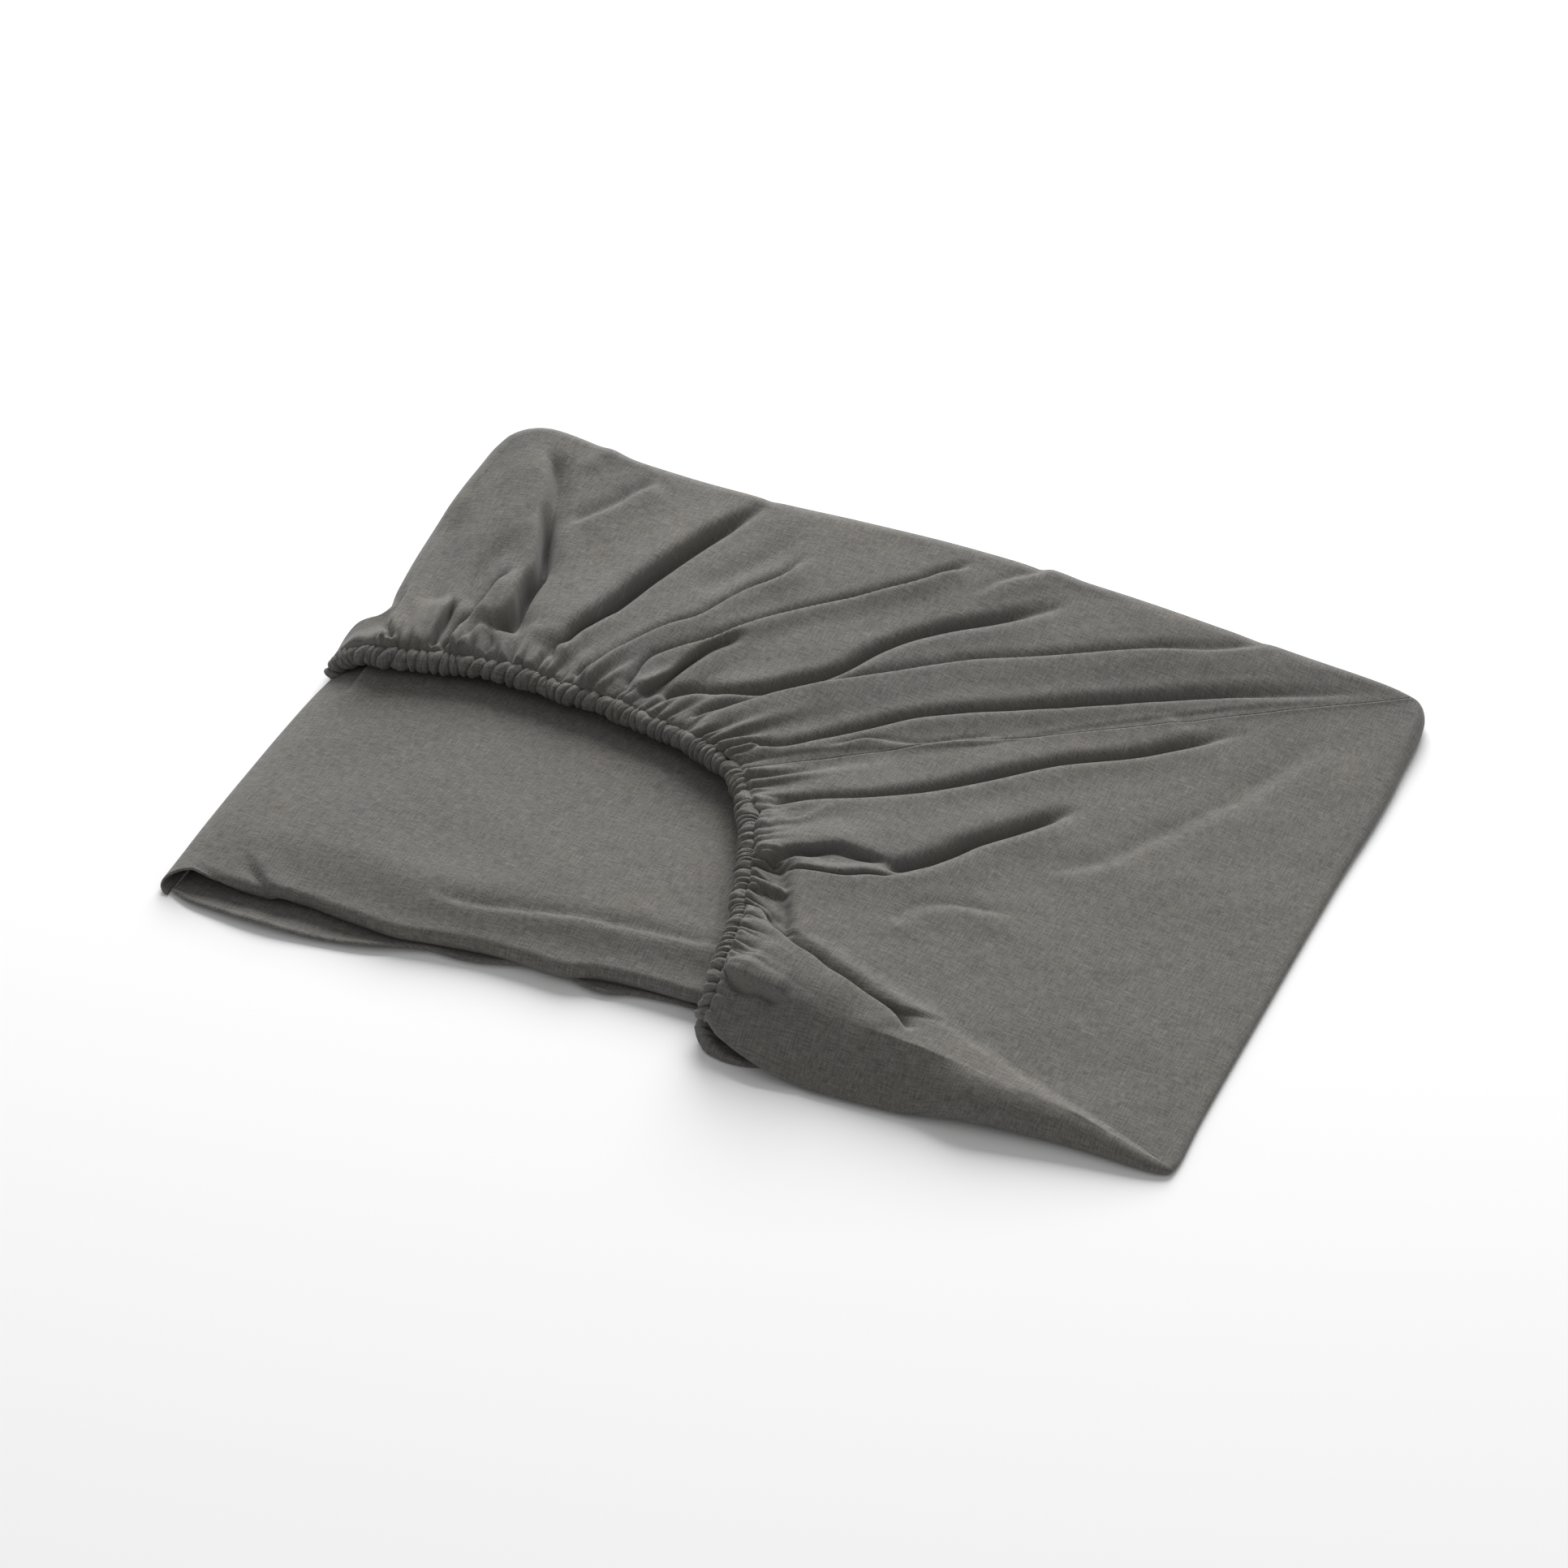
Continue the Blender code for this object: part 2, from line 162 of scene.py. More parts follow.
DYE_FROM, DYE_TO = 0.36, 0.64
YARN_TONES = (0.66, 1.36)  # from a gap between yarns to the top of a yarn
SLUB_TONE = 0.22  # how much lighter the few thick yarns are
WEAVE_GONE, WEAVE_WHOLE = 0.35, 0.75  # the weave's pattern fades between these spreads
GRAIN_DEPTH, CRUMPLE_DEPTH = 0.1, 0.9


def linear(hex_value):
    channels = [int(hex_value[k:k + 2], 16) / 255 for k in (0, 2, 4)]
    return (*[c / 12.92 if c <= 0.04045 else ((c + 0.055) / 1.055) ** 2.4 for c in channels], 1)


def add(tree, kind, links=None, **settings):
    """A node with its settings, and its inputs by name or number: a value or a socket."""
    node = tree.nodes.new(kind)
    for key, value in settings.items():
        setattr(node, key, value)
    for key, value in (links or {}).items():
        if isinstance(value, bpy.types.NodeSocket):
            tree.links.new(value, node.inputs[key])
        else:
            node.inputs[key].default_value = value
    return node


linen = bpy.data.materials.new("washed_linen")
linen.use_nodes = True
tree = linen.node_tree
weave = add(tree, "ShaderNodeUVMap", uv_map="weave").outputs["UV"]
made = {}
for name, pattern in PATTERNS.items():
    place = add(tree, "ShaderNodeMapping", {
        "Vector": weave, "Scale": (1 / (pattern.width * MM), 1 / (pattern.length * MM), 1),
    })
    made[name] = add(tree, "ShaderNodeTexNoise", {
        "Vector": place.outputs[0], "Scale": 1.0, "Detail": pattern.detail, "Roughness": 0.6,
    }, noise_dimensions="2D").outputs["Fac"]
fuzz = add(tree, "ShaderNodeTexNoise", {
    "Vector": add(tree, "ShaderNodeTexCoord").outputs["Object"], "Scale": 1 / (FUZZ_SIZE * MM),
    "Detail": 2.0, "Roughness": 0.6,
})

# The yarns, as much above or below their mean as the weave is spread, with the fuzz over them.
crossed = add(tree, "ShaderNodeMath", {0: made["warp"], 1: made["weft"]}, operation="ADD")
centred = add(tree, "ShaderNodeMath", {0: crossed.outputs[0], 1: 1.0}, operation="SUBTRACT")
spread = add(tree, "ShaderNodeAttribute", attribute_name="weave_spread")
shown = add(tree, "ShaderNodeMapRange", {
    "Value": spread.outputs["Fac"], "From Min": WEAVE_GONE, "From Max": WEAVE_WHOLE,
})
woven = add(tree, "ShaderNodeMath", {
    0: centred.outputs[0], 1: shown.outputs[0],
}, operation="MULTIPLY")
raised = add(tree, "ShaderNodeMath", {0: woven.outputs[0], 1: 1.0}, operation="ADD")
yarns = add(tree, "ShaderNodeMath", {0: raised.outputs[0], 1: fuzz.outputs["Fac"]}, operation="ADD")

# The thick yarns, the dye and the tone that the yarns give it.
slubs = add(tree, "ShaderNodeMath", {
    0: made["slubs_up"], 1: made["slubs_across"],
}, operation="MAXIMUM")
slub_tone = add(tree, "ShaderNodeMapRange", {
    "Value": slubs.outputs[0], "From Min": 0.70, "From Max": 0.80, "To Max": SLUB_TONE,
})
yarn_tone = add(tree, "ShaderNodeMapRange", {
    "Value": yarns.outputs[0], "From Min": 1.1, "From Max": 1.9,
    "To Min": YARN_TONES[0], "To Max": YARN_TONES[1],
})
tone = add(tree, "ShaderNodeMath", {
    0: yarn_tone.outputs[0], 1: slub_tone.outputs[0],
}, operation="ADD")
dye = add(tree, "ShaderNodeValToRGB", {"Fac": made["mottle"]})
cool, warm = dye.color_ramp.elements
cool.position, warm.position = DYE_FROM, DYE_TO
cool.color, warm.color = linear(DYE_COOL), linear(DYE_WARM)
shaded = add(tree, "ShaderNodeVectorMath", {
    0: dye.outputs["Color"], 1: tone.outputs[0],
}, operation="MULTIPLY")
grain = add(tree, "ShaderNodeBump", {
    "Height": yarns.outputs[0], "Strength": 0.6, "Distance": GRAIN_DEPTH * MM,
})
crumple = add(tree, "ShaderNodeBump", {
    "Height": made["crumple"], "Strength": 0.5, "Distance": CRUMPLE_DEPTH * MM,
    "Normal": grain.outputs[0],
})
shader = tree.nodes["Principled BSDF"]
tree.links.new(shaded.outputs[0], shader.inputs["Base Color"])
tree.links.new(crumple.outputs[0], shader.inputs["Normal"])
shader.inputs["Roughness"].default_value = 0.92
shader.inputs["Specular IOR Level"].default_value = 0.3
shader.inputs["Sheen Weight"].default_value = 0.10
shader.inputs["Sheen Roughness"].default_value = 0.5


def finish_cloth(piece, thickness):
    """The cloth's thickness and linen, and where the piece rides."""
    wall = piece.modifiers.new("thickness", "SOLIDIFY")
    wall.thickness = thickness * MM
    wall.offset = 0
    piece.data.materials.append(linen)
    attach(piece, "root")
    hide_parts("fitted_sheet")


finish_cloth(bottom_layer, LAYER_THICKNESS)

# The inner panel. The same cloth turned over the left side, rolled under along its near edge, and
# folded back on itself under the flap. It is smooth, with one soft ridge above the near roll.
PANEL_THICKNESS = 1.1
PANEL_CORNER = (-230.0, -170.0)
PANEL_END = (-240.5, 5.0)
PANEL_WRAP = np.radians(np.linspace(0, 172, 14))
PANEL_BULGE = 5.5  # how far the left side's round turn stands out
PANEL_TOP = (-222.0, 162.0)
PANEL_TOP_COLUMNS = 190
PANEL_FOLD = np.radians(np.linspace(20, 180, 9))
RETURN_HEIGHT = 4.2
RETURN_X = np.linspace(150, -185, 40)
ROLL_RADIUS = 3.1
ROLL_TURN = np.radians(np.linspace(205, 12, 16))
PANEL_ROWS = 120
NEAR_LINE = [
    (-222, -155), (-212, -158), (-200, -159.5), (-184, -158), (-168, -157), (-153, -158.5),
    (-139, -159.5), (-124, -160.5), (-106, -157.5), (-81, -154.5), (-64, -154.5), (-44, -154.5),
    (-34, -151), (-15, -149), (12, -149), (60, -146), (100, -134), (162, -112),
]
FAR_LINE = [
    (-222, 3), (-205, 8), (-180, 18), (-150, 28), (-125, 60), (-95, 115), (-60, 138), (100, 138),
    (162, 128),
]
HEM_ABOVE = [
    (-222, 0), (-160, 7), (-105, 3), (-57, -8), (-27, -22), (-11, -44), (4, -78), (12, -102),
    (22, -140), (34, -160), (162, -160),
]
PANEL_SWELL = [
    (-222, 11.5), (-200, 12.8), (-175, 13.8), (-150, 14.2), (-80, 14.4), (-40, 14.0), (0, 13.2),
    (40, 11.0), (100, 8.0), (162, 7.0),
]
ROLL_SHARE = [
    (-222, 0.0), (-212, 0.3), (-196, 0.9), (-180, 1.0), (30, 1.0), (84, 0.0), (162, 0.0),
]
UNROLLED = 0.7  # how far the edge reaches where it isn't rolled, as a share of the roll's length
ROLL_RIDGE = [(-165, -146), (-104, -141), (-62, -133), (-8, -126), (40, -124)]
RIDGE_HEIGHT = 1.6
RIDGE_BACK, RIDGE_FRONT = 16.0, 9.0
RIDGE_FROM, RIDGE_FADE = -175.0, 50.0
PANEL_EDGE_HEIGHT = 9.4
EDGE_SLOPE = 36.0  # the panel slopes down to its near edge over this width
PANEL_LOW_HEIGHT = 7.5
SINK_FROM, SINK_OVER = 6.0, 22.0  # the flap presses the panel down behind the hem
PANEL_WAVE_HEIGHT, PANEL_WAVE_LENGTH = 0.35, 60.0


def waves(x, y, seed, size, count=14):
    """Slow, uneven waves about size mm long and one unit high."""
    draw = np.random.default_rng(seed)
    total = np.zeros(np.shape(x))
    for _ in range(count):
        heading = draw.uniform(0, 2 * np.pi)
        pitch = size * draw.uniform(0.7, 1.8)
        phase = draw.uniform(0, 2 * np.pi)
        total += np.sin((x * np.cos(heading) + y * np.sin(heading)) * 2 * np.pi / pitch + phase)
    return total / np.sqrt(count)


# A fold runs along its line. Its ridge has a gentle back and a steep face towards a valley on one
# side. The cloth climbs out of the valley softly, or to a sharp rim where rim is 1. Lengths are in
# mm, with how far the ridge leans over the valley.
Fold = namedtuple("Fold", "line valley rise drop back face front rim lean fade_in fade_out")
FAR_OVERHANG = 0.15  # how far the far side of a fold hangs over its valley, as a share of its drop
EDGE_BEAD = 0.07  # the cloth stands up a little behind the edge of a fold, as a share of its drop
BEAD_AWAY = 3.0
PANEL_FOLDS = {
    "roll_crest": Fold([(-128, -139), (-104, -141), (-85, -138), (-62, -133), (-30, -129),
                        (0, -126), (30, -123)],
                       "left", 1.4, 1.2, 9, 3.0, 12, 0, 0.6, 34, 20),
    "corner_crease": Fold([(-174, -158), (-183, -156), (-191, -152), (-198, -146), (-203, -139)],
                          "left", 1.0, 1.3, 7, 2.4, 9, 0, 0.4, 4, 12),
    "under_hem": Fold([(-226, -2), (-208, 0), (-186, 4), (-160, 4)],
                      "right", 3.2, 0, 12, 12, 16, 0, 0, 4, 40),
    "soft_crease": Fold([(-66, -12), (-58, -40), (-54, -60)],
                        "left", 0.5, 0.5, 5, 2, 5, 0, 0, 12, 16),
}


def unit(v):
    return v / np.linalg.norm(v, axis=-1, keepdims=True)


def fold_shapes(here, folds):
    """The height that the folds add at each point of the plan, and how far they push it over."""
    height, push = np.zeros(here.shape[:-1]), np.zeros(here.shape)
    for fold in folds.values():
        corners = np.array(fold.line, float)
        knots = np.concatenate([[0], np.cumsum(np.linalg.norm(np.diff(corners, axis=0), axis=1))])
        places = np.linspace(0, knots[-1], 40)
        line = through(corners, places, knots)
        reach = max(2.7 * fold.back, fold.face + 2.7 * fold.front)
        box = (here > line.min(axis=0) - reach).all(-1) & (here < line.max(axis=0) + reach).all(-1)
        point = here[box]
        best = np.full(len(point), 1e9)
        side, place = np.zeros(len(point)), np.zeros(len(point))
        toward = np.zeros(point.shape)
        sign = 1 if fold.valley == "left" else -1
        for k in range(len(line) - 1):
            run = line[k + 1] - line[k]
            part = np.clip((point - line[k]) @ run / (run @ run), 0, 1)
            gap = point - line[k] - part[:, None] * run
            size = np.linalg.norm(gap, axis=1)
            closer = size < best
            best = np.where(closer, size, best)
            side = np.where(closer, sign * np.sign(run[0] * gap[:, 1] - run[1] * gap[:, 0]), side)
            place = np.where(closer, places[k] + part * (places[k + 1] - places[k]), place)
            valley = sign * np.array((-run[1], run[0])) / np.hypot(*run)
            toward = np.where(closer[:, None], valley, toward)
        fade = ease(place / fold.fade_in) * ease((places[-1] - place) / fold.fade_out)
        behind = fold.rise * np.exp(-((best / fold.back) ** 2))
        behind += EDGE_BEAD * fold.drop * best / BEAD_AWAY * np.exp(1 - best / BEAD_AWAY)
        over_face = np.cos(np.pi / 2 * np.minimum(best / fold.face, 1))
        part = np.clip((best - fold.face) / fold.front, 0, 1)
        climbed = (1 - fold.rim) * np.sin(np.pi / 2 * part) + fold.rim * part ** 2
        ahead = (fold.rise + fold.drop) * over_face - fold.drop * (1 - climbed)
        if not fold.drop:
            ahead = fold.rise * np.exp(-((best / fold.front) ** 2))
        height[box] += fade * np.where(side > 0, ahead, behind)
        lean = np.where(side > 0, over_face, np.exp(-((best / (0.6 * fold.back)) ** 2)))
        beyond = np.clip((best - fold.face) / (1.4 * fold.front), 0, 1)
        overhang = FAR_OVERHANG * fold.drop * (fold.valley == "left") * np.sin(np.pi * beyond) ** 2
        push[box] += (fade * (fold.lean * lean - overhang * (side > 0)))[:, None] * toward
    return height, push


def panel_height(x, y):
    """The panel's height: a swell, the ridge above the near roll, and the slope down to it."""
    height = along(PANEL_SWELL, x)
    ridge = along(ROLL_RIDGE, x)
    width = np.where(y > ridge, RIDGE_BACK, RIDGE_FRONT)
    crest = RIDGE_HEIGHT * np.exp(-(((y - ridge) / width) ** 2))
    height += crest * ease((x - RIDGE_FROM) / RIDGE_FADE)
    from_edge = y - along(NEAR_LINE, x)
    near = ease(1 - from_edge / EDGE_SLOPE)
    height += (np.minimum(height, PANEL_EDGE_HEIGHT) - height) * near
    under_flap = ease((y - along(HEM_ABOVE, x) - SINK_FROM) / SINK_OVER)
    height += (np.minimum(height, PANEL_LOW_HEIGHT) - height) * under_flap
    slow = PANEL_WAVE_HEIGHT * waves(x, y, 5, PANEL_WAVE_LENGTH)
    return height + slow * ease(from_edge / (PANEL_WAVE_LENGTH / 2))


roll_rows = len(ROLL_TURN)
share = np.concatenate([np.zeros(roll_rows), np.linspace(0, 1, PANEL_ROWS)])
edge_share = np.linspace(0, 0.1, roll_rows + 1)[:-1]
left_share = np.concatenate([edge_share, 0.1 + 0.9 * share[roll_rows:]])
turn_left = np.concatenate([ROLL_TURN, np.zeros(PANEL_ROWS)])
left_x = PANEL_CORNER[0] + (PANEL_END[0] - PANEL_CORNER[0]) * left_share
left_y = PANEL_CORNER[1] + (PANEL_END[1] - PANEL_CORNER[1]) * left_share
top_x = np.linspace(*PANEL_TOP, PANEL_TOP_COLUMNS)[:, None] * np.ones(len(share))
near, far = along(NEAR_LINE, top_x), along(FAR_LINE, top_x)
top_y = near + ROLL_RADIUS + (far - near - ROLL_RADIUS) * share
curled = along(ROLL_SHARE, top_x)
reach = np.sin(turn_left) * curled + UNROLLED * turn_left * (1 - curled)
top_y = top_y - ROLL_RADIUS * reach
drop = ROLL_RADIUS * (1 - np.cos(turn_left)) * curled
top_z = panel_height(top_x, np.maximum(top_y, near + ROLL_RADIUS)) - drop
panel_fold_height, panel_push = fold_shapes(np.stack([top_x, top_y], axis=2), PANEL_FOLDS)
panel_top = np.stack([top_x, top_y, top_z + panel_fold_height], axis=2)
panel_top[..., :2] += panel_push

# The turn at the left side, the fold on the right under the flap, and the way back.
lift = ((1 - np.cos(PANEL_WRAP)) / 2)[:, None]
bulge = PANEL_BULGE * (1 - left_share ** 6) * np.sin(PANEL_WRAP)[:, None]
wrap_x = left_x + (PANEL_TOP[0] - left_x) * lift ** 2 - bulge
wrap_y = left_y + (top_y[0] - left_y) * lift
wrap_z = LAYER_HEIGHT + (top_z[0] - LAYER_HEIGHT) * lift
panel_wrap = np.stack([wrap_x, wrap_y, wrap_z], axis=2)
fold_radius = (top_z[-1] - RETURN_HEIGHT) / 2
panel_fold = np.stack(
    [
        top_x[-1] + fold_radius * np.sin(PANEL_FOLD)[:, None],
        top_y[-1] * np.ones((len(PANEL_FOLD), 1)),
        top_z[-1] - fold_radius * (1 - np.cos(PANEL_FOLD))[:, None],
    ],
    axis=2,
)
panel_return = np.stack(
    [
        RETURN_X[:, None] * np.ones(len(share)),
        top_y[-1] * np.ones((len(RETURN_X), 1)),
        RETURN_HEIGHT * np.ones((len(RETURN_X), len(share))),
    ],
    axis=2,
)
panel = np.concatenate([panel_wrap, panel_top, panel_fold, panel_return])
panel_run = np.linalg.norm(np.diff(panel, axis=0), axis=2).mean(axis=1)
panel_threads = np.stack(
    [
        np.concatenate([[0], np.cumsum(panel_run)])[:, None] * np.ones(len(share)),
        panel[..., 1] - ROLL_RADIUS * turn_left,
    ],
    axis=2,
)
inner_panel = cloth_piece("inner_panel", panel, panel_threads)
finish_cloth(inner_panel, PANEL_THICKNESS)

# The outer flap. The sides of the fitted sheet, turned over the folded layers from the left, far,
# right and near sides. Its folds fan out of the elastic hem that gathers it. Each station is one
# place along the hem, with the place on the outer edge that its cloth comes from. At the near
# end the cloth fans down the roll to its free edge, which bows out towards the near side.
# A station has the middle of the casing, the place on the outer edge, the flap's height above
# that edge, how far in it gets there, its puff behind the hem, its turn in degrees, and its bow.
Station = namedtuple("Station", "casing side height inset puff wrap bow")
STATIONS = {
    "left_end": Station((-240.0, -2.5, 5.0), (-244.0, -1.0), 8.0, 5.0, 0.0, 60, 0),
    "left_scallop": Station((-237.0, 0.0, 11.5), (-245.5, 9.5), 14.0, 7.0, 1.5, 95, 0),
    "left_puff": Station((-230.0, -0.5, 17.0), (-240.5, 18.0), 24.5, 8.0, 3.0, 140, 0),
    "left_notch": Station((-222.0, -1.5, 21.0), (-231.0, 31.0), 27.0, 8.0, 3.0, 170, 0),
    "left_low": Station((-214.0, -2.0, 22.5), (-234.0, 48.0), 31.0, 11.0, 4.0, 180, 0),
    "left_mid": Station((-201.0, -0.5, 23.5), (-239.5, 90.0), 36.0, 12.0, 5.0, 180, 0),
    "left_high": Station((-186.0, 2.5, 24.0), (-240.0, 134.0), 43.0, 13.0, 5.0, 180, 0),
    "corner_left": Station((-174.0, 5.0, 24.0), (-236.5, 163.0), 47.5, 14.0, 4.0, 180, 0),
    "corner_far": Station((-160.0, 7.0, 24.0), (-216.0, 178.0), 49.5, 14.0, 3.0, 180, 0),
    "far_first": Station((-145.0, 7.0, 24.0), (-160.0, 176.5), 43.5, 14.0, 3.0, 180, 0),
    "far_second": Station((-125.0, 4.0, 24.0), (-98.0, 175.0), 40.5, 14.0, 3.0, 180, 0),
    "far_third": Station((-105.0, 3.0, 24.0), (-45.0, 175.0), 41.0, 14.0, 3.0, 180, 0),
    "far_fourth": Station((-87.0, -1.0, 24.0), (7.0, 175.0), 40.5, 14.0, 3.0, 180, 0),
    "far_fifth": Station((-57.0, -8.0, 24.0), (88.0, 174.5), 34.5, 13.0, 3.0, 180, 0),
    "far_sixth": Station((-38.0, -16.0, 24.0), (160.0, 173.5), 25.5, 12.0, 3.0, 180, 0),
    "corner_far_right": Station((-27.0, -22.0, 24.0), (222.0, 173.5), 14.0, 6.0, 3.0, 180, 0),
    "corner_right": Station((-21.0, -29.0, 24.0), (232.5, 167.5), 11.5, 4.0, 3.0, 180, 0),
    "right_first": Station((-11.0, -44.0, 24.0), (235.5, 122.0), 7.5, 5.0, 4.0, 180, 0),
    "right_second": Station((-2.0, -62.0, 24.0), (235.3, 88.0), 5.8, 5.0, 5.0, 180, 0),
    "right_third": Station((4.0, -78.0, 24.0), (232.8, 38.0), 4.4, 4.5, 5.0, 180, 0),
    "right_fourth": Station((8.0, -87.0, 24.0), (230.6, -50.0), 3.6, 4.5, 5.0, 180, 0),
    "right_fifth": Station((10.0, -92.0, 24.0), (229.0, -130.0), 3.2, 4.0, 5.0, 180, 0),
    "corner_near_right": Station((11.0, -97.0, 24.0), (229.0, -163.0), 3.0, 2.5, 5.0, 180, 0),
    "corner_near": Station((12.0, -102.0, 24.0), (226.5, -167.5), 3.6, 3.0, 5.0, 180, 0),
    "near_first": Station((16.0, -111.0, 24.0), (182.0, -169.5), 13.0, 9.0, 5.0, 180, 0),
    "near_second": Station((20.0, -130.0, 23.5), (114.0, -177.0), 21.5, 20.0, 4.0, 180, 0),
    "near_third": Station((22.5, -147.0, 21.0), (79.0, -178.5), 22.0, 24.0, 3.0, 180, 0),
    "near_curl": Station((23.5, -154.5, 17.0), (75.0, -178.4), 22.0, 24.0, 3.0, 164, 1),
    "near_turn": Station((23.5, -159.0, 12.5), (72.0, -178.2), 22.0, 24.0, 2.5, 136, 3),
    "near_end": Station((22.5, -162.5, 8.5), (70.0, -178.0), 22.0, 24.0, 1.5, 86, 4.3),
}
FLAP_THICKNESS = 0.9
FLAP_COLUMNS = 800
WRAP_ROWS = 11
TOP_ROWS = 98
TOP_CROWDING = 1.2  # the rows lie closer together towards the hem
FINE_PLACES = 6000  # places along the hem, from which the columns are evenly picked
SEWN_AT = 0.8  # the flap leaves the casing at this share of its radius
WRAP_SAG = 1.35  # the sides stand steeper near the top than near the floor
SIDE_WEAVE = 1.3  # the weave's way down a side, for each unit of the arc of its inset
ROLL_EDGE = 2.5  # the near side is a roll: a low round edge, and then a rounded slope
ROLL_SLOPE = 1.3
ROLL_FROM, ROLL_OVER = 15.0, 5.0  # a side set in by more than this is such a roll
PUFF_AT = 0.16  # the flap puffs up most at this share of its width
CASING_RADIUS = 4.2
GATHER_ANGLE = np.radians(55)
SMALL_WIDTH, FULL_WIDTH = 12.0, 52.0  # the flap is too narrow to ruffle, and wide enough to
OVERHANG, OVERHANG_AWAY = 1.6, 4.0  # the puffs hang out over the hem
SOFTENING = 2  # rounds of evening out, which round the edges of the folds
HEM_ROWS = 8  # the rows next to the hem, which stay crisp
CORNER_SEAM = (226.0, 171.0)
BOW_TOWARD = (-0.25, -0.97)
CALM = [(246, 291), (297, 420)]  # the stretches of the hem that smooth puffs leave, in mm along it
CALM_SHARE, CALM_FADE = 0.85, 5.0

